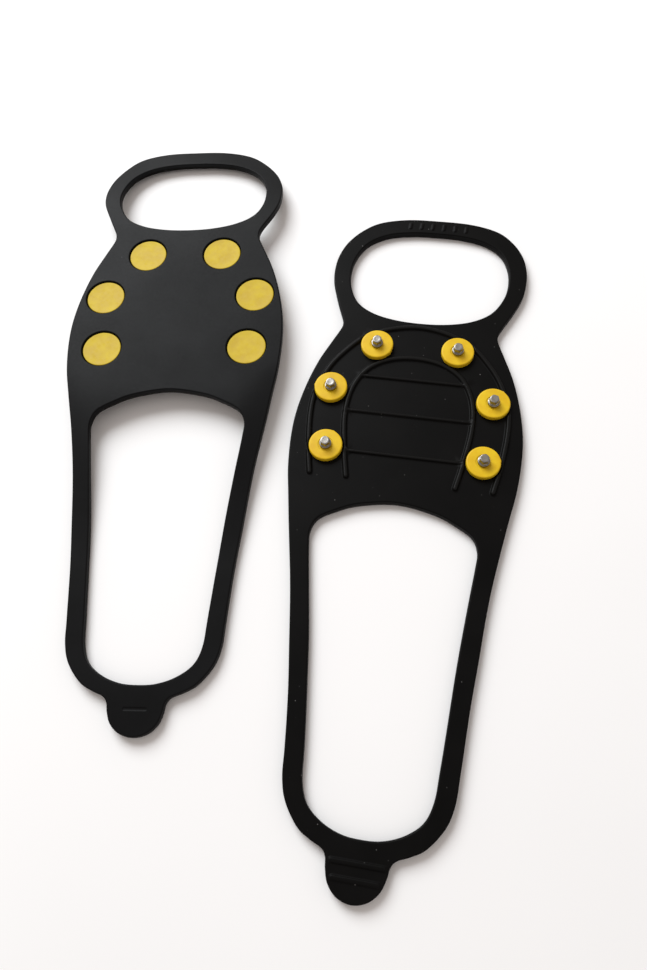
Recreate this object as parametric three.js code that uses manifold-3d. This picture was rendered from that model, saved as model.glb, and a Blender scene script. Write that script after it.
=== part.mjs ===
// A pair of slip-on ice cleats, in millimetres, +Z up, lying side by side with their toes towards +Y.
// The left one lies on its studs, foot side up; the right one lies on its foot side, studs up.
// A cleat is one flat rubber moulding with six studs through it. The moulding bends anywhere, and is
// divided here along the four lines where it bends in use, with a rounded edge in each fold.
// A cleat's own frame has x across, y along as a station from the pull tab's tip, z from the foot
// side to the ground side.
import * as THREE from "three";
import { mergeVertices } from "three/addons/utils/BufferGeometryUtils.js";
import Module from "manifold-3d";

const wasm = await Module();
wasm.setup();

// Driving dimensions
const LENGTH = 286; // pull tab's tip to the end of the toe loop
const RUBBER = 3.4; // thickness of the moulding
const GAP = 0.3; // between pieces that meet

// Stations of the fold lines
const TAB_FOLD = 13.5;
const HEEL_FOLD = 36;
const BAND_FOLD = 126;
const TOE_FOLD = 238;
const KNUCKLE = RUBBER / 2; // radius of the rounded edge that turns in a fold
const CLEAR = KNUCKLE + GAP; // from a fold line to the square edge that it turns against

// Studs: x and station of the three on one side
const STUDS = [
  [17.5, 214.4],
  [34.4, 191],
  [32.4, 163.5],
];
const BUTTON = { radius: 8.5, thick: 1.2, sink: 0.6, recess: 8.95 };
const HUB = { radius: 2.1, bore: 1.3 };
const WASHER = { radius: 7, thick: 2.3, bevel: 0.7 };
const PIN = { shank: 1, collar: 2.5, collarHigh: 0.9, hexFlats: 3.6, hexHigh: 2.4, chamfer: 0.4 };

// Raised ribs of the ground side
const RIB = { width: 2, high: 1.1 };
const CROSS_RIB = { width: 1.5, high: 0.9, stations: [162.8, 181.7, 199.1] };
const TAB_RIB = { width: 1.8, high: 0.5, stations: [7.1, 12.2], lengths: [17.4, 20] };

// How the pair lies
const SPLAY = THREE.MathUtils.degToRad(3.75); // each cleat's turn, toes apart
const SPACING = 100.4; // between the two middles, across
const STAGGER = 43.4; // the left one is this much further along
const TO_CENTRE = -0.19; // moves the middle of the pair's whole length onto the origin
const STAND = RUBBER + GAP + WASHER.thick + GAP + PIN.collarHigh + PIN.hexHigh; // foot face to pin tip
const LEVEL = [150, 226]; // stations between which the left one is level, held up by its studs
const BANDS_DOWN = 74; // station where its bands meet the ground
const FINE = 7; // longest edge in a piece that bends to the ground

// Half outlines as [x, station], from one crossing of the centre line to the next
const OUTER = [
  [0, 0], [5.2, 1.4], [8.9, 5], [10.5, 9.4], [11.1, 12.8], [12.9, 15.1], [17.2, 17], [22.4, 20.2],
  [27.9, 27.4], [30.4, 35], [31.3, 45], [33.1, 65], [35.3, 83], [37.7, 102.5], [40.1, 117.5],
  [44.3, 140], [46.7, 153], [47.9, 167], [47.6, 179], [45.5, 192], [42.1, 204.5], [37.8, 215],
  [34.8, 222], [34.2, 224.8], [35, 228.5], [39.3, 237.5], [42.6, 246], [43.6, 253.5], [43, 261],
  [40.3, 269], [34.9, 276.5], [27.3, 282.2], [15, 285.4], [0, LENGTH],
];
const HEEL_OPENING = [
  [0, 19.6], [7, 20.2], [14.2, 22.9], [20.3, 27.8], [23.2, 35], [24.3, 46], [26.1, 65], [28.1, 85],
  [30.6, 104.5], [32.8, 121], [33.1, 127], [30.7, 132.3], [24, 136.4], [15, 140], [0, 142.3],
];
const TOE_OPENING = [
  [0, 228.7], [12, 229.5], [22.3, 232.1], [30, 236.9], [34.4, 244.6], [35.8, 253], [34.6, 261.7],
  [30.2, 269.8], [22, 275.2], [11, 277.6], [0, 278],
];
// Half paths of the two horseshoe ribs, from the top of the arch to the end
const OUTER_RIB = [
  [0, 226.1], [13.1, 223.7], [23.5, 218.6], [31, 210.6], [36.8, 201.5], [40.8, 189.4],
  [41.3, 177.3], [39.3, 161.1], [37.3, 151.3],
];
const INNER_RIB = [
  [0, 210], [10, 208.6], [17.9, 204.5], [22.9, 198.5], [26.1, 189.4], [26.6, 177.3],
  [24.2, 161.1], [22.2, 151.3],
];

const rubber = new THREE.MeshStandardMaterial({ color: 0x1b1b1d, roughness: 0.62 });
const yellow = new THREE.MeshStandardMaterial({ color: 0xe8b81e, roughness: 0.42 });
const steel = new THREE.MeshStandardMaterial({ color: 0xb4b4b0, roughness: 0.35, metalness: 1 });

// ---- Outlines ----

const mirrored = (points) => points.map((p) => new THREE.Vector2(-p.x, p.y)).reverse();

// A smooth half outline through points that start on the centre line, and end on it unless open
function halfOutline(points, open = false) {
  const given = points.map(([x, y]) => new THREE.Vector2(x, y));
  const before = new THREE.Vector2(-given[1].x, given[1].y);
  const last = given[given.length - 2];
  const after = open ? [] : [new THREE.Vector2(-last.x, last.y)];
  const perPoint = 3;
  const spline = new THREE.SplineCurve([before, ...given, ...after]);
  const sampled = spline.getPoints(perPoint * (given.length + after.length));
  return sampled.slice(perPoint, perPoint * given.length + 1);
}

// The stretch of a half outline between two stations
function between(line, from, to) {
  const at = (station) => {
    const next = Math.max(1, line.findIndex((p) => p.y >= station));
    const [a, b] = [line[next - 1], line[next]];
    return a.clone().lerp(b, (station - a.y) / (b.y - a.y));
  };
  const margin = 0.2; // no sampled point this near to an end
  const inside = line.filter((p) => p.y > from + margin && p.y < to - margin);
  return [at(from), ...inside, at(to)];
}

const evenly = (points, steps) => new THREE.SplineCurve(points).getSpacedPoints(steps);

const outer = halfOutline(OUTER);
const heelOpening = halfOutline(HEEL_OPENING);
const toeOpening = halfOutline(TOE_OPENING);
const HEEL_OPENS = HEEL_OPENING[0][1];
const HEEL_CLOSES = HEEL_OPENING.at(-1)[1];
const TOE_OPENS = TOE_OPENING[0][1];
const TOE_CLOSES = TOE_OPENING.at(-1)[1];

// ---- Solids ----

function solid(geometry) {
  const bare = geometry.clone();
  bare.deleteAttribute("normal");
  bare.deleteAttribute("uv");
  const merged = mergeVertices(bare, 1e-4);
  const vertProperties = Float32Array.from(merged.attributes.position.array);
  return new wasm.Manifold(
    new wasm.Mesh({ numProp: 3, vertProperties, triVerts: Uint32Array.from(merged.index.array) }),
  );
}

function geometryOf(manifold) {
  const { vertProperties, triVerts } = manifold.getMesh();
  const geometry = new THREE.BufferGeometry();
  geometry.setAttribute("position", new THREE.BufferAttribute(vertProperties, 3));
  geometry.setIndex(new THREE.BufferAttribute(triVerts, 1));
  geometry.computeVertexNormals();
  return geometry;
}

// A flat strip between two edges of equally many points, walked with the first edge on the right
function strip(right, left, low = 0, high = RUBBER) {
  const corners = [];
  right.forEach((r, i) => {
    const l = left[i];
    corners.push(r.x, r.y, low, r.x, r.y, high, l.x, l.y, high, l.x, l.y, low);
  });
  const faces = [0, 1, 2, 0, 2, 3];
  const end = 4 * (right.length - 1);
  faces.push(end, end + 2, end + 1, end, end + 3, end + 2);
  for (let here = 0; here < end; here += 4)
    for (let side = 0; side < 4; side++) {
      const next = (side + 1) % 4;
      faces.push(here + side, here + 4 + side, here + 4 + next);
      faces.push(here + side, here + 4 + next, here + next);
    }
  const geometry = new THREE.BufferGeometry();
  geometry.setAttribute("position", new THREE.Float32BufferAttribute(corners, 3));
  geometry.setIndex(faces);
  return geometry;
}

function plate(points, high = RUBBER) {
  return new THREE.ExtrudeGeometry(new THREE.Shape(points), { depth: high, bevelEnabled: false });
}

function disc(radius, low, high, segments, x = 0, y = 0) {
  return new THREE.CylinderGeometry(radius, radius, high - low, segments)
    .rotateX(Math.PI / 2)
    .translate(x, y, (low + high) / 2);
}

// Solid of revolution about z, from [radius, z] points that start and end on the axis
function turned(profile, segments) {
  const points = profile.map(([radius, z]) => new THREE.Vector2(radius, z));
  return new THREE.LatheGeometry(points, segments).rotateX(Math.PI / 2);
}

// The rounded edge of a piece along its fold line, from x0 to x1
function knuckle(x0, x1, station) {
  const rod = new THREE.CylinderGeometry(KNUCKLE, KNUCKLE, x1 - x0, 12)
    .rotateZ(Math.PI / 2)
    .translate((x0 + x1) / 2, station, RUBBER / 2);
  return solid(rod);
}

// A knuckle on each of a loop's two arms
function knuckles(body, inner, station) {
  const near = between(inner, station, station + 1)[0].x;
  const far = between(outer, station, station + 1)[0].x;
  return body.add(knuckle(near, far, station)).add(knuckle(-far, -near, station));
}

// A raised rib along a symmetric or straight path, let into the surface
function rib(path, width, high) {
  const curve = new THREE.SplineCurve(path);
  const right = [];
  const left = [];
  const steps = 2 * (path.length - 1);
  for (let i = 0; i <= steps; i++) {
    const p = curve.getPointAt(i / steps);
    const across = curve.getTangentAt(i / steps).rotateAround(new THREE.Vector2(), -Math.PI / 2);
    right.push(p.clone().addScaledVector(across, width / 2));
    left.push(p.clone().addScaledVector(across, -width / 2));
  }
  return solid(strip(right, left, RUBBER - GAP, RUBBER + high));
}

// ---- Rubber pieces, flat ----

function toeLoop() {
  const edge = between(outer, TOE_FOLD, LENGTH);
  const hole = between(toeOpening, TOE_FOLD, TOE_CLOSES);
  const wholeEdge = evenly([...edge, ...mirrored(edge).slice(1)], 44);
  const wholeHole = evenly([...hole, ...mirrored(hole).slice(1)], 44);
  return knuckles(solid(strip(wholeEdge, wholeHole)), toeOpening, TOE_FOLD);
}

function sideBand(sign) {
  const span = [HEEL_FOLD + CLEAR, BAND_FOLD];
  const far = evenly(between(outer, ...span), 12);
  const near = evenly(between(heelOpening, ...span), 12);
  const x0 = near.at(-1).x;
  const x1 = far.at(-1).x;
  if (sign > 0) return solid(strip(far, near)).add(knuckle(x0, x1, BAND_FOLD));
  return solid(strip(mirrored(far), mirrored(near))).add(knuckle(-x1, -x0, BAND_FOLD));
}

function heelCup() {
  const edge = between(outer, TAB_FOLD + CLEAR, HEEL_FOLD);
  const square = new THREE.Vector2(0, TAB_FOLD + CLEAR); // the straight stretch that faces the tab
  const straight = [0.75, 0.5, 0.25].map((part) => new THREE.Vector2(edge[0].x * part, square.y));
  const half = [square, ...straight.reverse(), ...edge];
  const hole = between(heelOpening, HEEL_OPENS, HEEL_FOLD);
  const wholeEdge = [...mirrored(half), ...half.slice(1)];
  const wholeHole = evenly([...mirrored(hole), ...hole.slice(1)], wholeEdge.length - 1);
  return knuckles(solid(strip(wholeEdge, wholeHole)), heelOpening, HEEL_FOLD);
}

function pullTab() {
  const edge = between(outer, 0, TAB_FOLD);
  const wide = edge.at(-1).x;
  let tab = solid(plate([...mirrored(edge), ...edge.slice(1)])).add(knuckle(-wide, wide, TAB_FOLD));
  TAB_RIB.stations.forEach((station, index) => {
    const reach = TAB_RIB.lengths[index] / 2;
    const ends = [-reach, reach].map((x) => new THREE.Vector2(x, station));
    tab = tab.add(rib(ends, TAB_RIB.width, TAB_RIB.high));
  });
  return tab;
}

const studPlaces = () => [1, -1].flatMap((sign) => STUDS.map(([x, y]) => [sign * x, y]));

function forefootPad() {
  const edge = between(outer, BAND_FOLD + CLEAR, TOE_FOLD - CLEAR);
  const front = between(toeOpening, TOE_OPENS, TOE_FOLD - CLEAR);
  const arch = between(heelOpening, BAND_FOLD + CLEAR, HEEL_CLOSES);
  const outline = [
    ...edge,
    ...[...front].reverse(),
    ...mirrored(front).reverse().slice(1),
    ...mirrored(edge),
    ...mirrored(arch).reverse(),
    ...[...arch].reverse().slice(1),
  ];
  let pad = solid(plate(outline));
  for (const half of [OUTER_RIB, INNER_RIB]) {
    const side = half.map(([x, y]) => new THREE.Vector2(x, y));
    pad = pad.add(rib([...mirrored(side), ...side.slice(1)], RIB.width, RIB.high));
  }
  const innerRib = halfOutline(INNER_RIB, true).reverse();
  for (const station of CROSS_RIB.stations) {
    const reach = between(innerRib, station, station + 1)[0].x;
    const ends = [-reach, 0, reach].map((x) => new THREE.Vector2(x, station));
    pad = pad.add(rib(ends, CROSS_RIB.width, CROSS_RIB.high));
  }
  const floor = BUTTON.sink + BUTTON.thick + GAP; // depth of the round recess on the foot side
  for (const [x, y] of studPlaces()) {
    pad = pad.subtract(solid(disc(BUTTON.recess, -1, floor, 20, x, y)));
    pad = pad.subtract(solid(disc(HUB.radius + GAP, 0, RUBBER + 1, 12, x, y)));
    pad = pad.subtract(solid(disc(WASHER.radius + GAP, RUBBER, RUBBER + 2, 20, x, y)));
  }
  return pad;
}

// ---- Stud pieces, about their own axis ----

const WASHER_LOW = RUBBER + GAP;
const WASHER_TOP = WASHER_LOW + WASHER.thick;
const COLLAR_LOW = WASHER_TOP + GAP;

// Disc on the foot side with a hollow hub that reaches up through the rubber and the washer
function button() {
  const low = BUTTON.sink;
  const top = low + BUTTON.thick;
  const round = 0.25;
  const profile = [
    [0, low], [BUTTON.radius - round, low], [BUTTON.radius, low + round], [BUTTON.radius, top],
    [HUB.radius, top], [HUB.radius, WASHER_TOP], [HUB.bore, WASHER_TOP], [HUB.bore, top], [0, top],
  ];
  return turned(profile, 16);
}

function washer() {
  const bore = HUB.radius + GAP;
  const profile = [
    [bore, WASHER_LOW], [WASHER.radius, WASHER_LOW], [WASHER.radius, WASHER_TOP - WASHER.bevel],
    [WASHER.radius - WASHER.bevel, WASHER_TOP], [bore, WASHER_TOP], [bore, WASHER_LOW],
  ];
  return turned(profile, 16);
}

// Steel pin: shank in the hub, round collar on the washer, six-sided tip
function pin() {
  const foot = BUTTON.sink + BUTTON.thick + GAP;
  const top = COLLAR_LOW + PIN.collarHigh;
  const shank = [
    [0, foot], [PIN.shank, foot], [PIN.shank, COLLAR_LOW], [PIN.collar, COLLAR_LOW],
    [PIN.collar, top - PIN.chamfer], [PIN.collar - PIN.chamfer, top], [0, top],
  ];
  const corner = PIN.hexFlats / Math.sqrt(3);
  const hex = [
    [0, top - GAP], [corner, top - GAP], [corner, STAND - PIN.chamfer],
    [corner - PIN.chamfer, STAND], [0, STAND],
  ];
  return geometryOf(solid(turned(shank, 12)).add(solid(turned(hex, 6))));
}

// ---- Assembly ----

// Lowers each point of a flat piece towards the ground side, by an amount that depends on its station
function draped(manifold, drop) {
  const geometry = geometryOf(manifold.refineToLength(FINE));
  const position = geometry.attributes.position;
  for (let i = 0; i < position.count; i++)
    position.setZ(i, position.getZ(i) + drop(position.getY(i)));
  geometry.computeVertexNormals();
  return geometry;
}

function named(name, geometry, material) {
  const mesh = new THREE.Mesh(geometry, material);
  mesh.name = name;
  return mesh;
}

function cleat(side, drop) {
  const group = new THREE.Group();
  const rubberPieces = {
    forefoot_pad: forefootPad(),
    toe_loop: toeLoop(),
    outer_band: sideBand(1),
    inner_band: sideBand(-1),
    heel_cup: heelCup(),
    pull_tab: pullTab(),
  };
  for (const [name, piece] of Object.entries(rubberPieces))
    group.add(named(`${side}_${name}`, drop ? draped(piece, drop) : geometryOf(piece), rubber));
  const studPieces = [
    ["button", button(), yellow],
    ["washer", washer(), yellow],
    ["pin", pin(), steel],
  ];
  studPlaces().forEach(([x, y], index) => {
    for (const [name, geometry, material] of studPieces) {
      const piece = named(`${side}_stud_${index + 1}_${name}`, geometry, material);
      piece.position.set(x, y, 0);
      group.add(piece);
    }
  });
  group.position.y = -LENGTH / 2; // the middle of the length becomes the cleat's centre
  return group;
}

// How far the left cleat's rubber comes down at a station: its bands slope gently to the ground, its
// tab lies on its ribs, and its toe loop hangs down like a held strip until its end meets the ground
function sag(station) {
  const [rear, front] = LEVEL;
  const bands = 1 - THREE.MathUtils.smoothstep(station, BANDS_DOWN, rear);
  const along = THREE.MathUtils.clamp((station - front) / (LENGTH - front), 0, 1);
  const toe = (along * along * (3 - along)) / 2;
  const tab = 1 - THREE.MathUtils.smoothstep(station, TAB_FOLD, HEEL_FOLD);
  return (STAND - RUBBER) * (bands + toe) - TAB_RIB.high * tab;
}

const left = new THREE.Group();
const turnedOver = new THREE.Group(); // foot side up, standing on its pins
turnedOver.rotation.y = Math.PI;
turnedOver.position.z = STAND;
turnedOver.add(cleat("left", sag));
left.add(turnedOver);
left.position.set(-SPACING / 2, STAGGER / 2, 0);
left.rotation.z = SPLAY;

const right = new THREE.Group();
right.add(cleat("right"));
right.position.set(SPACING / 2, -STAGGER / 2, 0);
right.rotation.z = -SPLAY;

const pair = new THREE.Group();
pair.add(left, right);
pair.position.y = TO_CENTRE;
export default pair;
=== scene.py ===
import math

import bmesh
import bpy
import numpy as np
from mathutils import Matrix, Vector
from mathutils.geometry import delaunay_2d_cdt
from mathutils.kdtree import KDTree

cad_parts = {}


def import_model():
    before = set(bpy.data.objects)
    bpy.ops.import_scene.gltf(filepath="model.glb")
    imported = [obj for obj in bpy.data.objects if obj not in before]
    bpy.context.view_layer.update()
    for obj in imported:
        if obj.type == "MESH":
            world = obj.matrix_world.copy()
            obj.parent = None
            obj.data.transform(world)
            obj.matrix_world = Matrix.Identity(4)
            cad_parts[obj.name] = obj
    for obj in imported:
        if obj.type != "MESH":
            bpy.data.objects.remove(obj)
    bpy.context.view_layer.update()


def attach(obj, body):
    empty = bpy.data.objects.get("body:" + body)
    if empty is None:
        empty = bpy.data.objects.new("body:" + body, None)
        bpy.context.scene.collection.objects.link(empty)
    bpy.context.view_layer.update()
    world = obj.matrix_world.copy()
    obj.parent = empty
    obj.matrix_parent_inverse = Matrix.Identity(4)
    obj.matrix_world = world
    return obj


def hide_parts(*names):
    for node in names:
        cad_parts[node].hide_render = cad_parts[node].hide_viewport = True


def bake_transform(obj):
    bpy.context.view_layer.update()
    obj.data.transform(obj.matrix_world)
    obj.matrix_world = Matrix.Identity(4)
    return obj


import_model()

# A pair of slip-on ice cleats. Shapes are worked out in millimetres in each cleat's own flat frame:
# x across, a station s along from the pull tab's tip, and z from the foot side to the ground side.
MM = 0.001

# ---- Driving dimensions, as in the CAD model ----

LENGTH = 286
RUBBER = 3.4
GAP = 0.3
STUDS = [(17.5, 214.4), (34.4, 191), (32.4, 163.5)]
BUTTON = {"radius": 8.5, "thick": 1.2, "sink": 0.6, "recess": 8.95}
HUB = {"radius": 2.1, "bore": 1.3}
WASHER = {"radius": 7.0, "thick": 2.3}
PIN = {"shank": 1.0, "collar": 2.5, "collar_high": 0.9, "hex_flats": 3.6, "hex_high": 2.4}
STAND = RUBBER + GAP + WASHER["thick"] + GAP + PIN["collar_high"] + PIN["hex_high"]

OUTER = [
    (0, 0), (5.2, 1.4), (8.9, 5), (10.5, 9.4), (11.1, 12.8), (12.9, 15.1), (17.2, 17), (22.4, 20.2),
    (27.9, 27.4), (30.4, 35), (31.3, 45), (33.1, 65), (35.3, 83), (37.7, 102.5), (40.1, 117.5),
    (44.3, 140), (46.7, 153), (47.9, 167), (47.6, 179), (45.5, 192), (42.1, 204.5), (37.8, 215),
    (34.8, 222), (34.2, 224.8), (35, 228.5), (39.3, 237.5), (42.6, 246), (43.6, 253.5), (43, 261),
    (40.3, 269), (34.9, 276.5), (27.3, 282.2), (15, 285.4), (0, LENGTH),
]
HEEL_OPENING = [
    (0, 19.6), (7, 20.2), (14.2, 22.9), (20.3, 27.8), (23.2, 35), (24.3, 46), (26.1, 65),
    (28.1, 85), (30.6, 104.5), (32.8, 121), (33.1, 127), (30.7, 132.3), (24, 136.4), (15, 140),
    (0, 142.3),
]
TOE_OPENING = [
    (0, 228.7), (12, 229.5), (22.3, 232.1), (30, 236.9), (34.4, 244.6), (35.8, 253), (34.6, 261.7),
    (30.2, 269.8), (22, 275.2), (11, 277.6), (0, 278),
]
OUTER_RIB = [
    (0, 226.1), (13.1, 223.7), (23.5, 218.6), (31, 210.6), (36.8, 201.5), (40.8, 189.4),
    (41.3, 177.3), (39.3, 161.1), (37.3, 151.3),
]
INNER_RIB = [
    (0, 210), (10, 208.6), (17.9, 204.5), (22.9, 198.5), (26.1, 189.4), (26.6, 177.3),
    (24.2, 161.1), (22.2, 151.3),
]
RIB = {"width": 2.0, "high": 1.1}
CROSS_RIB = {"width": 1.5, "high": 0.9, "stations": (162.8, 181.7, 199.1)}
TAB_RIB = {"width": 1.8, "high": 0.5, "stations": (7.1, 12.2), "lengths": (17.4, 20)}

# How the pair lies
SPLAY = math.radians(3.75)  # turn of each cleat, toes apart
SPACING = 100.4  # between the two middle lines
STAGGER = 43.4  # how much further forward the left one lies
TO_CENTRE = -0.19  # brings the pair's box to the middle, lengthways
TAB_FOLD, HEEL_FOLD = 13.5, 36  # stations of two of the fold lines
LEVEL = (150, 226)  # stations between which the left one is level, held up by its studs
BANDS_DOWN = 74  # station where its bands meet the ground
LEAN = 1.0  # how much sooner it comes down behind its rear studs, for each mm further out
LEAN_FROM = 37  # distance from the middle line where the lean is nil
LEAN_REACH = (-6, 10)  # how far in and out of there the lean goes on

# ---- Finer shape ----

RIM = 0.55  # rounding of the moulding's edges
HOLD = 0.2  # a row of points just inside each rounded edge
POINT_EVERY = 1.2  # along the outlines and ribs
GRID = 2.2  # between points of the flat faces
SPLINE_STEPS = 16  # points to each span of a smooth line, before they are spaced evenly
WELD = 0.002  # grid on which coinciding points of two surfaces fall together
FLASH = {"out": 0.07, "half_high": 0.16}  # ridge that the mould halves leave round the edge
RIB_ROWS = [0, 0.4, 0.7, 0.9, 1.05, 1.3, 1.6]  # rows of points beside a rib, in half widths
RIB_CLEAR, RIB_FADE = 0.15, 0.7  # a rib ends this far from a washer, sloping down over the fade
TOE_MARKS = {
    "count": 6, "every": 5.2, "length": 2.6, "width": 1.5, "high": 0.35, "station": 282,
    "bow": 0.002,  # the row follows the loop: lower by this times the square of the way out
}
TAB_MARK = {"length": 8, "width": 1.2, "high": -0.2, "station": 10.5}  # sunk, not raised

# Where the moulding is divided into pieces, each lying wholly on one body there
TAB_CUT, HEEL_CUT, BAND_CUT, TOE_CUT = CUTS = (17.6, 46.0, 134.0, 233.0)
# Stretches between two bodies where the real moulding bends; here they set where the flat grid's
# points lie closer, and the pieces are not bent
TAB_BEND = (17.0, 10.0)
HEEL_BEND = (45.0, 27.0)
BAND_BEND = (133.5, 118.5)
TOE_BEND = (233.5, 246.5)
BENDS = (TAB_BEND, HEEL_BEND, BAND_BEND, TOE_BEND)

# How the soft loops lie a little out of true: (station, sideways, lengthways)
LIE = {
    "right": [(0, 1.9, -1.3), (20, 2.5, -1.0), (40, 2.7, -0.7), (80, 1.7, -0.6), (126, 0.2, -0.6),
              (146, 0, 0), (150, 0, 0), (224, 0, 0), (228, 0, 0), (240, 0.7, 0.8),
              (262, 1.6, 1.5), (286, 2.9, 1.0)],
    "left": [(0, 0.1, 0.7), (20, 0, -0.2), (40, -0.1, -0.9), (60, -0.2, -0.9), (80, -0.2, -0.6),
             (100, 0, 0.1), (118, 0.3, 0.2), (128, 0.4, 0.1), (138, 0.2, 0), (150, 0, 0),
             (224, 0, 0), (228, 0, 0), (240, 0.5, -0.7), (251, 0.1, -1.6), (262, 0, -3.2),
             (274, -0.6, -3.8), (286, -1.9, -2.6)],
}


# ---- Lines ----

def smoothstep(t):
    t = np.clip(t, 0, 1)
    return t * t * (3 - 2 * t)


def quarter(count):
    """Angles over a quarter of a turn."""
    return np.radians(np.linspace(0, 90, count))


def mirrored(point):
    return (-point[0], point[1])


def spline(points):
    """Smooth line through points[1:-1]; the two ends only give its direction."""
    p = np.array(points, float)
    t = np.linspace(0, 1, SPLINE_STEPS, endpoint=False)[:, None]
    spans = []
    for a, b, c, d in zip(p, p[1:], p[2:], p[3:]):
        out, into = (c - a) / 2, (d - b) / 2
        cubic = 2 * b - 2 * c + out + into
        square = -3 * b + 3 * c - 2 * out - into
        spans.append(((cubic * t + square) * t + out) * t + b)
    return np.vstack([*spans, p[-2:-1]])


def spaced(line, every):
    """The same line with evenly spaced points."""
    steps = np.linalg.norm(np.diff(line, axis=0), axis=1)
    length = np.concatenate([[0], np.cumsum(steps)])
    at = np.linspace(0, length[-1], max(1, round(length[-1] / every)) + 1)
    return np.column_stack([np.interp(at, length, line[:, k]) for k in (0, 1)])


def closed_loop(half_points):
    """A whole outline, anticlockwise, with points exactly at the cuts that it crosses."""
    half = spline([mirrored(half_points[1]), *half_points, mirrored(half_points[-2])])
    low, high = half[0, 1], half[-1, 1]
    crossed = [(np.interp(c, half[:, 1], half[:, 0]), c) for c in CUTS if low < c < high]
    ends = [half[0], *crossed, half[-1]]
    stretches = []
    for a, b in zip(ends, ends[1:]):
        inside = half[(half[:, 1] > a[1]) & (half[:, 1] < b[1])]
        stretches.append(spaced(np.vstack([a, inside, b]), POINT_EVERY)[:-1])
    right = np.vstack([*stretches, half[-1:]])
    return np.vstack([right, right[-2:0:-1] * (-1, 1)])


def inward(points, side):
    """At each point of a loop, the way into the rubber on its left (1) or right (-1).
    Near a cut it leans, so that at the cut it lies along the cut."""
    along = np.roll(points, -1, 0) - np.roll(points, 1, 0)
    along /= np.linalg.norm(along, axis=1)[:, None]
    into = side * np.column_stack([-along[:, 1], along[:, 0]])
    steps = np.linalg.norm(np.roll(points, -1, 0) - points, axis=1)
    place = np.concatenate([[0], np.cumsum(steps)])
    lean, lean_over = np.zeros(len(points)), 8.0
    for i in np.flatnonzero(np.isin(points[:, 1], CUTS)):
        away = np.abs(place[:-1] - place[i])
        away = np.minimum(away, place[-1] - away)
        lean += -into[i, 1] / along[i, 1] * np.clip(1 - away / lean_over, 0, 1)
    return into + along * lean[:, None]


def distance_to(line, points):
    """Distance from each point to an open line."""
    best = np.full(len(points), np.inf)
    for a, b in zip(line, line[1:]):
        ab = b - a
        t = np.clip(((points - a) @ ab) / (ab @ ab), 0, 1)
        best = np.minimum(best, np.linalg.norm(points - a - t[:, None] * ab, axis=1))
    return best


def inside(loop, points):
    """True for each point inside a closed loop."""
    x, y = points[:, 0], points[:, 1]
    odd = np.zeros(len(points), bool)
    for (ax, ay), (bx, by) in zip(loop, np.roll(loop, -1, 0)):
        if ay != by:
            odd ^= ((ay > y) != (by > y)) & (x < (bx - ax) * (y - ay) / (by - ay) + ax)
    return odd


def circle(x, y, radius, count):
    a = np.arange(count) * math.tau / count
    return np.column_stack([x + radius * np.cos(a), y + radius * np.sin(a)])


# ---- Ribs and marks, as heights over the flat faces ----

def straight(x0, x1, station):
    """Points along a line across the cleat."""
    return spaced(np.array([(x0, station), (x1, station)], float), POINT_EVERY)


def symmetric_rib(half):
    """Points along a whole horseshoe, from its middle and its right half."""
    last, before = np.array(half[-1], float), np.array(half[-2], float)
    beyond = 2 * last - before
    whole = [mirrored(beyond), *map(mirrored, half[::-1]), *half[1:], beyond]
    return spaced(spline(whole), POINT_EVERY)


def rib_shape(t):
    """Height of a rib at t half widths from its middle, as a share of its full height.
    It is a flattened round on a small foot."""
    top = np.sqrt(np.clip(1 - t ** 4, 0, 1))
    foot_from, foot_to = 0.86, 1.3
    foot_high = math.sqrt(1 - foot_from ** 4)
    foot = foot_high * np.clip((foot_to - t) / (foot_to - foot_from), 0, 1) ** 2
    return np.where(t < foot_from, top, foot)


def rib_of(size, line):
    """(line, half width, height) of one rib."""
    return line, size["width"] / 2, size["high"]


def ground_ribs():
    inner = symmetric_rib(INNER_RIB)
    ribs = [rib_of(RIB, symmetric_rib(OUTER_RIB)), rib_of(RIB, inner)]
    right_side = inner[len(inner) // 2:]
    for station in CROSS_RIB["stations"]:
        reach = np.interp(station, right_side[::-1, 1], right_side[::-1, 0])
        ribs.append(rib_of(CROSS_RIB, straight(-reach, reach, station)))
    for station, length in zip(TAB_RIB["stations"], TAB_RIB["lengths"]):
        end = length / 2 - TAB_RIB["width"] / 2
        ribs.append(rib_of(TAB_RIB, straight(-end, end, station)))
    half = TOE_MARKS["length"] / 2
    for i in range(TOE_MARKS["count"]):
        x = (i - (TOE_MARKS["count"] - 1) / 2) * TOE_MARKS["every"]
        s = TOE_MARKS["station"] - TOE_MARKS["bow"] * x * x
        ends = np.array([(x, s - half), (x, s + half)])
        ribs.append(rib_of(TOE_MARKS, spaced(ends, POINT_EVERY)))
    return ribs


def foot_ribs():
    end = TAB_MARK["length"] / 2
    return [rib_of(TAB_MARK, straight(-end, end, TAB_MARK["station"]))]


STUD_PLACES = [(sign * x, s) for sign in (1, -1) for x, s in STUDS]


def relief(ribs, points):
    """Height of the ribs at each point. They stop at the washers."""
    high = np.zeros(len(points))
    for line, half_width, height in ribs:
        shape = height * rib_shape(distance_to(line, points) / half_width)
        high = np.maximum(high, shape) if height > 0 else np.minimum(high, shape)
    for x, s in STUD_PLACES:
        away = np.hypot(points[:, 0] - x, points[:, 1] - s) - WASHER["radius"]
        high *= smoothstep((away - RIB_CLEAR) / RIB_FADE)
    return high


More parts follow.
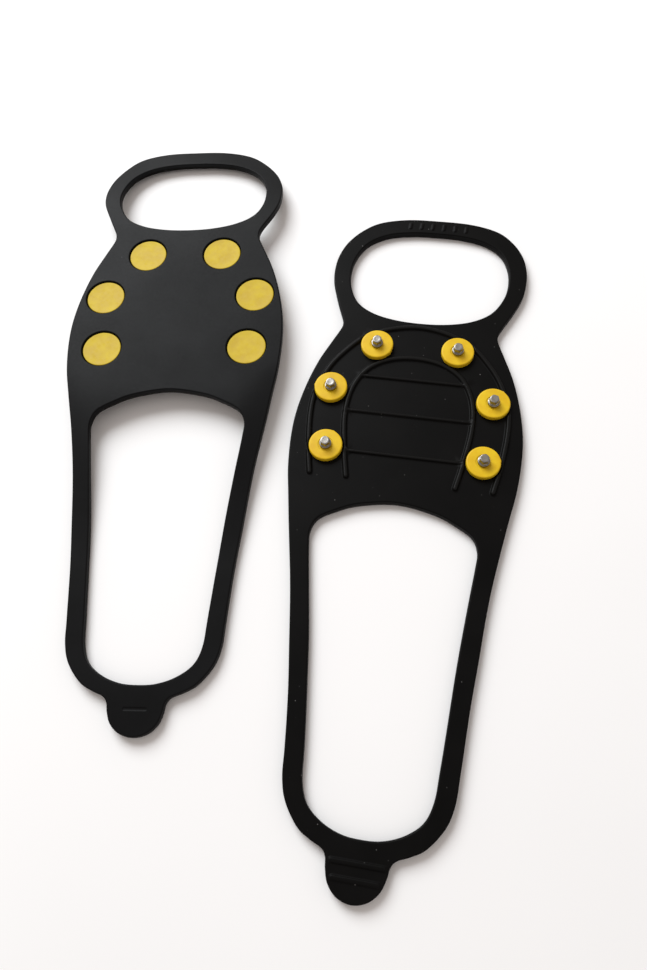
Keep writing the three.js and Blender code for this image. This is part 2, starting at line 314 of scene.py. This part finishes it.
def rib_points(line, half_width):
    """Points in rows along a rib and in arcs round its ends."""
    rows = np.array(RIB_ROWS) * half_width
    half_turn = np.linspace(-math.pi / 2, math.pi / 2, 9)[1:-1]
    ahead = np.gradient(line, axis=0)
    ahead /= np.linalg.norm(ahead, axis=1)[:, None]
    across = np.column_stack([-ahead[:, 1], ahead[:, 0]])
    found = [line + across * row * sign for row in rows for sign in (1, -1)]
    for end, out in ((line[0], -ahead[0]), (line[-1], ahead[-1])):
        facing = math.atan2(out[1], out[0])
        for row in rows[1:]:
            a = facing + half_turn
            found.append(end + row * np.column_stack([np.cos(a), np.sin(a)]))
    return np.vstack(found)


# ---- The moulding, flat ----

class Surface:
    """Points and faces of one closed surface, each face with the number of its material."""

    def __init__(self):
        self.points, self.faces, self.kinds = [], [], []

    def add(self, points, faces, kinds):
        start = len(self.points)
        self.points.extend(map(tuple, points))
        self.faces.extend([tuple(start + i for i in face) for face in faces])
        self.kinds.extend(kinds)

    def add_rows(self, rows, kinds, flip=False):
        """Closed rings of points, each joined to the next by a band of faces."""
        count = len(rows[0])
        faces, face_kinds = [], []
        for r, kind in enumerate(kinds):
            for i in range(count):
                j = (i + 1) % count
                face = (r * count + i, r * count + j, (r + 1) * count + j, (r + 1) * count + i)
                faces.append(face[::-1] if flip else face)
                face_kinds.append(kind)
        self.add(np.vstack(rows), faces, face_kinds)


FOOT, GROUND = 0, 1  # the smooth side that meets the shoe, and the side that meets the ice


def edge_profile():
    """(how far in, z) round the edge of the moulding, from the foot face to the ground face."""
    low = [(RIM * (1 - math.sin(a)), RIM * (1 - math.cos(a))) for a in quarter(6)]
    high = [(d, RUBBER - z) for d, z in reversed(low)]
    middle, half_high = RUBBER / 2, FLASH["half_high"]
    ridge = [(0, middle - half_high), (-FLASH["out"], middle), (0, middle + half_high)]
    return [(RIM + HOLD, 0), *low, *ridge, *high, (RIM + HOLD, RUBBER)]


def thinned(fixed, groups):
    """The points of the groups that are not too close to a fixed one or to an earlier group's."""
    kept = list(fixed)
    for points, closest in groups:
        tree = KDTree(len(kept))
        for i, p in enumerate(kept):
            tree.insert((p[0], p[1], 0), i)
        tree.balance()
        cells = set()
        for p in points:
            cell = (round(p[0] / closest), round(p[1] / closest))
            if cell not in cells and tree.find((p[0], p[1], 0))[2] >= closest:
                cells.add(cell)
                kept.append((p[0], p[1]))
    return np.array(kept[len(fixed):])


def flat_grid():
    """Staggered rows of points over the whole cleat, closer where it bends."""
    side, around, usual, closer = 50, 2, 0.87, 0.55
    found, s, shift = [], 1.0, 0
    while s < LENGTH:
        bends = any(min(b) - around < s < max(b) + around for b in BENDS)
        xs = np.arange(-side + shift * GRID / 2, side, GRID)
        found.append(np.column_stack([xs, np.full(len(xs), s)]))
        s += GRID * (closer if bends else usual)
        shift = 1 - shift
    return np.vstack(found)


def flat_face(loops, ribs, rings, cut_points):
    """Triangles over the region between loops, as (points, triangles).
    The first loop is the outside, and the others are openings."""
    fixed, edges = [], []
    for loop in loops:
        start = len(fixed)
        fixed.extend(map(tuple, loop))
        edges.extend((start + i, start + (i + 1) % len(loop)) for i in range(len(loop)))
    for line in cut_points:
        start = len(fixed)
        fixed.extend(map(tuple, line[1:-1]))
        tree = {tuple(p): i for i, p in enumerate(fixed[:start])}
        chain = [tree[tuple(line[0])], *range(start, len(fixed)), tree[tuple(line[-1])]]
        edges.extend(zip(chain, chain[1:]))
    rib_apart, ring_apart, grid_apart, margin, exact = 0.13, 0.2, 0.62 * GRID, 0.25, 1e-7
    groups = [(rib_points(line, half_width), rib_apart) for line, half_width, _ in ribs]
    groups += [(rings, ring_apart), (flat_grid(), grid_apart)]
    loose = thinned(fixed, groups)
    wanted = inside(loops[0], loose)
    for n, loop in enumerate(loops):
        if n:
            wanted &= ~inside(loop, loose)
        ring = np.vstack([loop, loop[:1]])
        near = wanted.copy()
        wanted[near] &= distance_to(ring, loose[near]) > margin
    every = [*fixed, *map(tuple, loose[wanted])]
    points, _, triangles, *_ = delaunay_2d_cdt([Vector(p) for p in every], edges, [], 0, exact)
    points = np.array([tuple(p) for p in points])
    triangles = np.array(triangles)
    middles = points[triangles].mean(1)
    keep = inside(loops[0], middles)
    for loop in loops[1:]:
        keep &= ~inside(loop, middles)
    return points, triangles[keep]


def moulding():
    """The whole rubber moulding of a cleat, lying flat, as one closed surface."""
    surface = Surface()
    profile = edge_profile()
    foot_share = 0.4  # of the edge's height looks like the foot side
    kinds = [FOOT if z < RUBBER * foot_share else GROUND for _, z in profile[:-1]]
    face_loops = []
    for half, side in ((OUTER, 1), (HEEL_OPENING, -1), (TOE_OPENING, -1)):
        points = closed_loop(half)
        into = inward(points, side)
        rows = [np.column_stack([points + into * d, np.full(len(points), z)])
                for d, z in profile]
        surface.add_rows(rows, kinds, flip=side < 0)
        face_loops.append(rows[0][:, :2])

    well_count, ring_count = 64, 72
    recess, hole = BUTTON["recess"], HUB["radius"] + GAP
    floor = BUTTON["sink"] + BUTTON["thick"] + GAP
    soft, corner, lead, bevel = 0.3, 0.2, 0.4, 0.1
    well = [(recess + soft + HOLD, 0)]
    well += [(recess + soft * (1 - math.sin(a)), soft * (1 - math.cos(a))) for a in quarter(4)]
    well += [(recess, floor - corner), (recess - corner, floor)]
    well += [(hole + lead, floor), (hole, floor + bevel)]
    well += [(hole, RUBBER - bevel), (hole + bevel, RUBBER)]
    foot_wells, ground_holes = [], []
    for x, s in STUD_PLACES:
        rows = [np.column_stack([circle(x, s, r, well_count), np.full(well_count, z)])
                for r, z in well]
        surface.add_rows(rows, [FOOT] * (len(well) - 1), flip=True)
        foot_wells.append(rows[0][:, :2])
        ground_holes.append(rows[-1][:, :2])

    cut_lines = []
    for cut in CUTS:
        xs = sorted(x for loop in face_loops for x, s in loop if s == cut)
        for x0, x1 in zip(xs[::2], xs[1::2]):
            cut_lines.append(straight(x0, x1, cut))
    across_fade = (0.15, 0.4, 0.65, 0.9)  # rings of points where the ribs slope down to a washer
    rings = np.vstack([circle(x, s, WASHER["radius"] + r, ring_count)
                       for x, s in STUD_PLACES for r in across_fade])
    for ribs, wells, base, sign, kind in (
        (foot_ribs(), foot_wells, 0, -1, FOOT),
        (ground_ribs(), ground_holes, RUBBER, 1, GROUND),
    ):
        extra = rings if kind == GROUND else rings[:0]
        points, triangles = flat_face([*face_loops, *wells], ribs, extra, cut_lines)
        z = base + sign * relief(ribs, points)
        faces = [tuple(t) if sign > 0 else tuple(t[::-1]) for t in triangles]
        surface.add(np.column_stack([points, z]), faces, [kind] * len(faces))
    return surface


# ---- From a flat cleat to the pair as it lies ----

def sag(x, s):
    """How far the left cleat's rubber comes down from its pad, which stands on the studs.
    Its outer edges give first."""
    rear, front = LEVEL
    drop = STAND - RUBBER
    reached = s - LEAN * np.clip(np.abs(x) - LEAN_FROM, *LEAN_REACH)
    bands = 1 - smoothstep((reached - BANDS_DOWN) / (rear - BANDS_DOWN))
    along = np.clip((s - front) / (LENGTH - front), 0, 1)
    toe = along * along * (3 - along) / 2
    tab = 1 - smoothstep((s - TAB_FOLD) / (HEEL_FOLD - TAB_FOLD))
    return drop * bands + (drop - TOE_MARKS["high"]) * toe - TAB_RIB["high"] * tab


def laid_over(s, side, column):
    """How far a point is moved sideways (1) or lengthways (2) by the way that the loops lie."""
    table = np.array(LIE[side], float)
    at, moved = table[:, 0], table[:, column]
    i = np.clip(np.searchsorted(at, s) - 1, 0, len(at) - 2)
    span = at[i + 1] - at[i]
    slope = np.gradient(moved, at)
    t = np.clip((s - at[i]) / span, 0, 1)
    share = smoothstep(t)
    leave, arrive = t * (1 - t) ** 2, t * t * (t - 1)
    bent = span * (leave * slope[i] + arrive * slope[i + 1])
    return moved[i] * (1 - share) + moved[i + 1] * share + bent


def placed(points, side):
    """Points of the flat cleat, in millimetres, as points of the shared frame, in metres."""
    x, s, z = np.array(points, float).T
    lateral, lengthways = laid_over(s, side, 1), laid_over(s, side, 2)
    if side == "left":
        x, z = -x, STAND - (z + sag(x, s))
    x, y = x + lateral, s - LENGTH / 2 + lengthways
    turn = SPLAY if side == "left" else -SPLAY
    sign = -1 if side == "left" else 1
    across = x * math.cos(turn) - y * math.sin(turn) + sign * SPACING / 2
    along = x * math.sin(turn) + y * math.cos(turn) - sign * STAGGER / 2 + TO_CENTRE
    return np.column_stack([across, along, z]) * MM


def mesh_object(name, points, faces, materials, kinds=None):
    mesh = bpy.data.meshes.new(name)
    mesh.from_pydata([tuple(p) for p in points], [], [tuple(f) for f in faces])
    for material in materials:
        mesh.materials.append(material)
    if kinds is not None:
        mesh.polygons.foreach_set("material_index", np.array(kinds, np.int32))
    mesh.polygons.foreach_set("use_smooth", np.ones(len(mesh.polygons), bool))
    mesh.update()
    piece = bpy.data.objects.new(name, mesh)
    bpy.context.scene.collection.objects.link(piece)
    return piece


# ---- Materials ----

NOISE_ROUGHNESS = 0.55
SPECK_CORE = 0.4  # share of a speck's size that is solid
RUBBER_SPECULAR = 0.06
PATTERN_SHIFT = 0.4  # metres between the two cleats' rubber patterns, so that they differ
DUST, PALE_DUST, LINT = (0.10, 0.10, 0.10), (0.22, 0.215, 0.21), (0.07, 0.07, 0.07)
WORN_AND_HIGHLIT_RIB = {"from": 0.55, "to": 1.05}  # heights over the ground face where a rib gets smoother and painted lighter: partly wear, partly a painted highlight


class Nodes:
    """Short names for building one node material."""

    def __init__(self, name):
        self.material = bpy.data.materials.new(name)
        self.material.use_nodes = True
        self.tree = self.material.node_tree
        self.shader = self.tree.nodes["Principled BSDF"]

    def add(self, kind, inputs=None, **settings):
        node = self.tree.nodes.new(f"ShaderNode{kind}")
        for key, value in settings.items():
            setattr(node, key, value)
        for key, value in (inputs or {}).items():
            self.set(node.inputs[key], value)
        return node

    def set(self, socket, value):
        if isinstance(value, bpy.types.NodeSocket):
            self.tree.links.new(value, socket)
        else:
            socket.default_value = value

    def shade(self, **inputs):
        for key, value in inputs.items():
            self.set(self.shader.inputs[key.replace("_", " ")], value)

    def noise(self, at, scale, detail):
        made = {"Vector": at, "Scale": scale, "Detail": detail, "Roughness": NOISE_ROUGHNESS}
        return self.add("TexNoise", made).outputs["Fac"]

    def band(self, value, low, high, to_low=0.0, to_high=1.0):
        """value, with low…high stretched to to_low…to_high and nothing beyond them."""
        made = {"Value": value, "From Min": low, "From Max": high}
        made |= {"To Min": to_low, "To Max": to_high}
        return self.add("MapRange", made).outputs["Result"]

    def mix(self, share, a, b):
        node = self.add("Mix", data_type="RGBA")
        self.set(node.inputs["Factor"], share)
        self.set(node.inputs["A"], (*a, 1) if isinstance(a, tuple) else a)
        self.set(node.inputs["B"], (*b, 1) if isinstance(b, tuple) else b)
        return node.outputs["Result"]

    def sum(self, a, b, operation="ADD"):
        """a and b added, or put together by another operation."""
        node = self.add("Math", operation=operation)
        self.set(node.inputs[0], a)
        self.set(node.inputs[1], b)
        return node.outputs[0]

    def specks(self, at, every, size):
        """1 inside small round specks, about one to each cell, and 0 elsewhere."""
        cells = self.add("TexVoronoi", {"Vector": at, "Scale": 1 / (every * MM)})
        return self.band(cells.outputs["Distance"], size / every, SPECK_CORE * size / every)

    def bump(self, height, distance, strength, over=None):
        made = {"Height": height, "Distance": distance * MM, "Strength": strength}
        node = self.add("Bump", made)
        if over is not None:
            self.set(node.inputs["Normal"], over)
        return node.outputs["Normal"]

    def flat_place(self):
        return self.add("Attribute", attribute_name="flat_place").outputs["Vector"]

    def own_place(self):
        return self.add("TexCoord").outputs["Object"]


def rubber_foot():
    """The smooth side: satin, with slow changes of sheen and a little dust."""
    n = Nodes("rubber_foot_side")
    at = n.flat_place()
    cloud = n.noise(at, 28, 4)
    fine = n.noise(at, 900, 3)
    grain = n.noise(at, 2600, 2)
    deep, faded = (0.0046, 0.0046, 0.0048), (0.0072, 0.0073, 0.0077)
    colour = n.mix(n.band(cloud, 0.35, 0.7), deep, faded)
    dust = n.specks(at, 9, 0.28)
    chosen = n.sum(dust, n.band(n.noise(at, 160, 2), 0.56, 0.66), "MULTIPLY")
    colour = n.mix(chosen, colour, DUST)
    rough = n.band(cloud, 0.3, 0.75, 0.42, 0.355)
    rough = n.sum(rough, n.band(fine, 0.3, 0.7, -0.03, 0.05))
    normal = n.bump(grain, 0.004, 0.5)
    normal = n.bump(cloud, 0.25, 0.6, normal)
    n.shade(Base_Color=colour, Roughness=rough, Normal=normal)
    n.shade(Specular_IOR_Level=RUBBER_SPECULAR)
    return n.material


def rubber_ground():
    """The side that meets the ice: deep black and matt, with a fine grain and dust."""
    n = Nodes("rubber_ground_side")
    at = n.flat_place()
    cloud = n.noise(at, 45, 4)
    grain = n.noise(at, 1500, 3)
    deep, faded = (0.0026, 0.0025, 0.0024), (0.0044, 0.0042, 0.0041)
    colour = n.mix(n.band(cloud, 0.35, 0.7), deep, faded)
    dust = n.specks(at, 3.6, 0.26)
    chosen = n.sum(dust, n.band(n.noise(at, 210, 2), 0.50, 0.60), "MULTIPLY")
    colour = n.mix(chosen, colour, PALE_DUST)
    lint = n.specks(at, 1.7, 0.10)
    chosen = n.sum(lint, n.band(n.noise(at, 400, 2), 0.56, 0.68), "MULTIPLY")
    colour = n.mix(chosen, colour, LINT)
    rough = n.band(cloud, 0.3, 0.75, 0.44, 0.375)
    # Rib tops are made smoother and painted lighter: partly wear, partly a painted highlight on the
    # raised ribs.
    height = n.add("SeparateXYZ", {"Vector": at}).outputs["Z"]
    worn = n.band(height, (RUBBER + WORN_AND_HIGHLIT_RIB["from"]) * MM, (RUBBER + WORN_AND_HIGHLIT_RIB["to"]) * MM)
    smoother, rubbed_and_highlit = -0.1, (0.0085, 0.0083, 0.0080)
    rough = n.sum(rough, n.sum(worn, smoother, "MULTIPLY"))
    colour = n.mix(worn, colour, rubbed_and_highlit)
    normal = n.bump(grain, 0.02, 0.6)
    n.shade(Base_Color=colour, Roughness=rough, Normal=normal)
    n.shade(Specular_IOR_Level=RUBBER_SPECULAR)
    return n.material


def yellow(name, light, dark, roughness, scuffs):
    """Moulded yellow plastic: a slow swirl of colour, small pits painted darker as painted shade,
    and scuffs.
    """
    n = Nodes(name)
    at = n.own_place()
    swirl = n.noise(at, 190, 3)
    colour = n.mix(n.band(swirl, 0.35, 0.68), dark, light)
    pits = n.specks(at, 2.6, 0.16)
    some = n.sum(pits, n.band(n.noise(at, 330, 2), 0.5, 0.6), "MULTIPLY")
    # The pits' colour is darkened towards a shaded yellow: painted shade in the pits.
    pit_shade_share, shaded = 0.45, tuple(0.55 * c for c in dark)
    colour = n.mix(n.sum(some, pit_shade_share, "MULTIPLY"), colour, shaded)
    wiped = n.noise(at, 620, 4)
    rough = n.sum(n.band(swirl, 0.3, 0.7, roughness - 0.05, roughness + 0.05),
                  n.band(wiped, 0.45, 0.75, 0, scuffs))
    normal = n.bump(wiped, 0.03, 0.5)
    normal = n.bump(some, -0.05, 0.8, normal)
    n.shade(Base_Color=colour, Roughness=rough, Normal=normal)
    n.shade(Specular_IOR_Level=0.25)
    return n.material


def steel():
    """Turned and cold-headed steel, a little worn and dull in places."""
    n = Nodes("pin_steel")
    at = n.own_place()
    worn = n.noise(at, 700, 4)
    dull, bright = (0.22, 0.21, 0.195), (0.40, 0.385, 0.36)
    colour = n.mix(n.band(worn, 0.35, 0.7), dull, bright)
    rough = n.band(worn, 0.3, 0.75, 0.42, 0.24)
    normal = n.bump(n.noise(at, 2400, 3), 0.02, 0.6)
    n.shade(Base_Color=colour, Roughness=rough, Normal=normal)
    n.shade(Metallic=1.0)
    return n.material


def floor_paper():
    n = Nodes("floor_paper")
    at = n.own_place()
    greyer, whiter = (0.93, 0.93, 0.93), (0.95, 0.95, 0.95)
    colour = n.mix(n.band(n.noise(at, 6, 2), 0.3, 0.7), greyer, whiter)
    n.shade(Base_Color=colour, Roughness=0.9)
    n.shade(Specular_IOR_Level=0.1)
    return n.material


FOOT_RUBBER, GROUND_RUBBER = rubber_foot(), rubber_ground()
WASHER_YELLOW = yellow("washer_yellow", (0.78, 0.53, 0.010), (0.70, 0.43, 0.008), 0.42, 0.10)
BUTTON_YELLOW = yellow("button_yellow", (0.60, 0.445, 0.020), (0.52, 0.36, 0.012), 0.50, 0.12)
STEEL = steel()


# ---- Rubber pieces ----

def division(middles):
    """The name of the piece that each face belongs to, from the middle of the face."""
    x, s = middles[:, 0], middles[:, 1]
    names = np.full(len(s), "forefoot_pad", object)
    names[s > TOE_CUT] = "toe_loop"
    names[(s < BAND_CUT) & (x > 0)] = "outer_band"
    names[(s < BAND_CUT) & (x < 0)] = "inner_band"
    names[s < HEEL_CUT] = "heel_cup"
    names[s < TAB_CUT] = "pull_tab"
    return names


def welded(surface):
    """The surface with its coinciding points made one: (points, faces)."""
    first, remap, points = {}, [], []
    for p in surface.points:
        # the faces made by triangulating hold 32-bit numbers, so all are compared as such
        key = tuple(round(float(c) / WELD) for c in np.float32(p))
        if key not in first:
            first[key] = len(points)
            points.append(p)
        remap.append(first[key])
    return points, [[remap[i] for i in face] for face in surface.faces]


def close_cuts(mesh):
    """Closes a piece where it was divided, with a flat face that has sharp edges."""
    work = bmesh.new()
    work.from_mesh(mesh)
    rim = [e for e in work.edges if e.is_boundary]
    made = bmesh.ops.holes_fill(work, edges=rim, sides=0)["faces"]
    for face in made:
        face.smooth = False
        face.material_index = GROUND
    for edge in rim:
        edge.smooth = False
    bmesh.ops.triangulate(work, faces=made)
    bmesh.ops.recalc_face_normals(work, faces=work.faces)
    work.to_mesh(mesh)
    work.free()


def rubber_pieces(side, points, faces, kinds, names):
    """The six rubber pieces of one cleat, in place, by name."""
    made = {}
    points = np.array(points)
    for name in dict.fromkeys(names):
        chosen = [i for i, n in enumerate(names) if n == name]
        used = sorted({v for i in chosen for v in faces[i]})
        number = {v: k for k, v in enumerate(used)}
        own = [[number[v] for v in faces[i]] for i in chosen]
        flat = points[used]
        piece = mesh_object(f"{side}_{name}_rubber", placed(flat, side), own,
                            [FOOT_RUBBER, GROUND_RUBBER], [kinds[i] for i in chosen])
        offset = 0 if side == "left" else PATTERN_SHIFT
        where = piece.data.attributes.new("flat_place", "FLOAT_VECTOR", "POINT")
        where.data.foreach_set("vector", (flat * MM + (offset, 0, 0)).astype(np.float32).ravel())
        close_cuts(piece.data)
        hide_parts(f"{side}_{name}")
        made[name] = piece
    return made


def bend(piece, side, stretch):
    """Works out the two ends of a stretch of stations and bakes the piece's place into its mesh;
    the piece itself is not bent.
    """
    start, end = (Vector(placed([(0, s, RUBBER / 2)], side)[0]) for s in stretch)
    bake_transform(piece)


surface = moulding()
flat_points, flat_faces = welded(surface)
middles = np.array([np.mean([flat_points[v][:2] for v in f], 0) for f in flat_faces])
face_names = list(division(middles))
for side in ("left", "right"):
    rubber = rubber_pieces(side, flat_points, flat_faces, surface.kinds, face_names)
    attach(rubber["forefoot_pad"], f"{side}_pad")
    bend(rubber["toe_loop"], side, TOE_BEND)
    bend(rubber["outer_band"], side, BAND_BEND)
    bend(rubber["inner_band"], side, BAND_BEND)
    bend(rubber["heel_cup"], side, HEEL_BEND)
    bend(rubber["pull_tab"], side, TAB_BEND)


# ---- Studs ----

def turned(profile, count, reach=None):
    """Faces of revolution about z from (radius, z) points.
    A profile that starts and ends on the axis gets points there; any other one closes on itself.
    reach(angle, radius, z) may move a point in or out."""
    on_axis = profile[0][0] == 0
    rings = profile[1:-1] if on_axis else profile
    surface = Surface()
    angles = np.arange(count) * math.tau / count
    rows = []
    for r, z in rings:
        radii = np.array([reach(a, r, z) if reach else r for a in angles])
        x, y = radii * np.cos(angles), radii * np.sin(angles)
        rows.append(np.column_stack([x, y, np.full(count, z)]))
    if not on_axis:
        rows.append(rows[0])
    surface.add_rows(rows, [0] * (len(rows) - 1))
    if on_axis:
        ends = ((rows[0], profile[0], True), (rows[-1], profile[-1], False))
        for row, (_, z), flip in ends:
            fan = [(i, (i + 1) % count, count) for i in range(count)]
            fan = [f[::-1] for f in fan] if flip else fan
            surface.add(np.vstack([row, (0, 0, z)]), fan, [0] * count)
    return surface


def rounded(corners):
    """A profile with rounded corners, from (radius, z, rounding).
    Each rounding has a row of points just outside it on either side."""
    beyond, steps = 1.25, 5
    made = []
    for i, (r, z, soft) in enumerate(corners):
        here = np.array([r, z], float)
        if soft == 0:
            made.append((r, z))
            continue
        before = np.array(corners[i - 1][:2], float) - here
        after = np.array(corners[(i + 1) % len(corners)][:2], float) - here
        before, after = before / np.linalg.norm(before), after / np.linalg.norm(after)
        made.append(tuple(here + before * soft * beyond))
        for t in np.linspace(0, 1, steps):
            made.append(tuple(here + soft * (before * (1 - t) ** 2 + after * t ** 2)))
        made.append(tuple(here + after * soft * beyond))
    return made


WASHER_LOW = RUBBER + GAP
WASHER_TOP = WASHER_LOW + WASHER["thick"]
COLLAR_LOW = WASHER_TOP + GAP


def washer(gate):
    """Round washer with soft edges, a shallow seat for the collar and its moulding gate's stub."""
    bore, radius, seat = HUB["radius"] + GAP, WASHER["radius"], PIN["collar"] + 0.55
    fall, seat_deep, stub_out, stub_wide = 0.06, 0.2, 0.2, 0.5
    seat_floor = WASHER_TOP - seat_deep
    corners = [
        (bore, WASHER_LOW, 0.12), (radius, WASHER_LOW, 0.3), (radius, WASHER_TOP - fall, 0.6),
        (radius * 0.7, WASHER_TOP, 0.0), (seat + 0.1, WASHER_TOP, 0.1), (seat, seat_floor, 0.06),
        (bore, seat_floor, 0.06),
    ]

    def reach(angle, r, z):
        if r < radius - 0.3:
            return r
        off = math.remainder(angle - gate, math.tau) * radius
        return r + stub_out * math.exp(-((off / stub_wide) ** 2))

    return turned(rounded(corners), 96, reach)


def button():
    """Disc sunk in the foot side, with a faint dish and a hub up through the rubber."""
    low, radius, dish = BUTTON["sink"], BUTTON["radius"], 0.05
    top = low + BUTTON["thick"]
    hub, bore, hub_top = HUB["radius"], HUB["bore"], WASHER_TOP - 0.25
    corners = [
        (0, low + dish, 0), (radius * 0.5, low + dish, 0), (radius * 0.86, low + dish, 0),
        (radius * 0.9, low, 0), (radius, low, 0.32), (radius, top, 0.15),
        (hub + 0.2, top, 0), (hub, top + 0.2, 0), (hub, hub_top, 0),
        (bore, hub_top, 0), (bore, top, 0), (0, top, 0),
    ]
    return turned(rounded(corners), 80)


def pin():
    """Steel pin: shank in the hub, round collar on the washer, six-sided tip with a chamfer."""
    foot = BUTTON["sink"] + BUTTON["thick"] + GAP
    collar_top = COLLAR_LOW + PIN["collar_high"]
    flat, chamfer, dimple = PIN["hex_flats"] / 2, 0.42, 0.03
    corner, blunt, steepness = 2 * flat / math.sqrt(3), 0.07, 1.5
    levels = [collar_top, collar_top + 0.12, STAND - 1.0, STAND - chamfer]
    levels += list(STAND - chamfer * np.array([0.8, 0.6, 0.4, 0.2, 0.08]))
    corners = [
        (0, foot, 0), (PIN["shank"], foot, 0.15), (PIN["shank"], COLLAR_LOW, 0),
        (PIN["collar"], COLLAR_LOW, 0.2), (PIN["collar"], collar_top, 0.3),
    ]
    profile = rounded([*corners, (corner + 0.15, collar_top, 0)])
    profile += [(corner, z) for z in levels]
    profile += [(flat - 0.22, STAND - 0.02), (flat - 0.45, STAND), (flat - 0.75, STAND - 0.02)]
    profile += [(0.4, STAND - dimple), (0, STAND - dimple)]

    def reach(angle, r, z):
        if z <= collar_top + 1e-6 or r < corner - 0.25:
            return r
        off = math.remainder(angle, math.pi / 3)
        six_sided = min(flat / math.cos(off), corner - blunt)
        cone = flat - 0.12 + steepness * (STAND - z)
        return min(six_sided, cone)

    return turned(profile, 96, reach)


def stud_piece(name, shape, side, place, material, turn=0.0):
    """One piece of a stud, put in its place in the cleat and riding on the pad."""
    points, faces = welded(shape)
    x, y, z = np.array(points).T
    c, s = math.cos(turn), math.sin(turn)
    flat = np.column_stack([x * c - y * s + place[0], x * s + y * c + place[1], z])
    piece = mesh_object(f"{side}_{name}_fine", placed(flat, side), faces, [material])
    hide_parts(f"{side}_{name}")
    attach(piece, f"{side}_pad")


random = np.random.default_rng(7)
for side in ("left", "right"):
    for number, place in enumerate(STUD_PLACES, 1):
        gate, turn, roll = random.uniform(0, math.tau, 3)
        stem = f"stud_{number}"
        stud_piece(f"{stem}_button", button(), side, place, BUTTON_YELLOW, turn)
        stud_piece(f"{stem}_washer", washer(gate), side, place, WASHER_YELLOW)
        stud_piece(f"{stem}_pin", pin(), side, place, STEEL, roll)


# ---- Floor, light, camera ----

def floor():
    size, z = 4.0, -0.0002
    points = [(-size, -size, z), (size, -size, z), (size, size, z), (-size, size, z)]
    plane = mesh_object("floor", points, [(0, 1, 2, 3)], [floor_paper()])


def aimed(location, target):
    """Where something stands that looks from a location at a target."""
    back = Vector(location) - Vector(target)
    turn = back.to_track_quat("Z", "Y").to_matrix().to_4x4()
    return Matrix.Translation(location) @ turn


def area_light(name, location, target, size, power, colour=(1, 1, 1)):
    data = bpy.data.lights.new(name, "AREA")
    data.shape, data.size, data.energy, data.color = "DISK", size, power, colour
    lamp = bpy.data.objects.new(name, data)
    lamp.matrix_world = aimed(location, target)
    bpy.context.scene.collection.objects.link(lamp)


def camera():
    position = Vector((0.04945, -0.13315, 0.2851))
    down, heading, roll = math.radians(66.91), math.radians(14.265), math.radians(9.75)
    forward = Vector((
        -math.sin(heading) * math.cos(down), math.cos(heading) * math.cos(down), -math.sin(down),
    ))
    level = Vector((math.cos(heading), math.sin(heading), 0))
    upright = level.cross(forward)
    right = level * math.cos(roll) - upright * math.sin(roll)
    up = level * math.sin(roll) + upright * math.cos(roll)
    data = bpy.data.cameras.new("camera")
    data.sensor_width, data.lens = 36, 27.835
    data.clip_start, data.clip_end = 0.01, 20
    eye = bpy.data.objects.new("camera", data)
    turn = Matrix((right, up, -forward)).transposed().to_4x4()
    eye.matrix_world = Matrix.Translation(position) @ turn
    bpy.context.scene.collection.objects.link(eye)
    bpy.context.scene.camera = eye


def world():
    made = bpy.data.worlds.new("studio")
    made.use_nodes = True
    sky = made.node_tree.nodes["Background"]
    sky.inputs["Color"].default_value = (1, 0.91, 0.86, 1)
    sky.inputs["Strength"].default_value = 0.5
    bpy.context.scene.world = made
    bpy.context.scene.view_settings.view_transform = "Standard"


floor()
camera()
world()
area_light("key", (-0.70, 0.96, 1.05), (0, 0, 0), 1.15, 27, (0.965, 1.0, 1.025))
